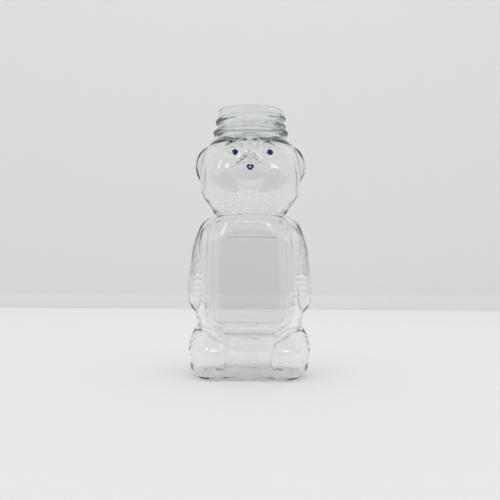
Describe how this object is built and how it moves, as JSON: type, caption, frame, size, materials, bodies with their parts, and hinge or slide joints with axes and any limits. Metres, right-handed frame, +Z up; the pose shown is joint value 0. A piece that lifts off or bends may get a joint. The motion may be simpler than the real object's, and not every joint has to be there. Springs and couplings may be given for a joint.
{
  "type": "honey bear bottle",
  "caption": "Clear plastic squeeze bottle in the shape of a sitting bear, with a wide screw neck, label panels and printed eyes and nose.",
  "frame": {"origin": "centre of the bounding box at the base, on the surface that the bottle stands on", "axes": "+Z up out of the mouth, -Y towards the bear's face and front label panel, +X to the right in a front view"},
  "size_m": [0.065, 0.0538, 0.1394],
  "materials": {
    "clear_pet": "clear, glossy, very slightly green in thick places",
    "blue_ink": "dark blue pad-printed ink"
  },
  "bodies": {
    "root": {"bottle": "clear_pet", "eye_ink_left": "blue_ink", "eye_ink_right": "blue_ink", "nose_ink": "blue_ink"}
  },
  "joints": []
}
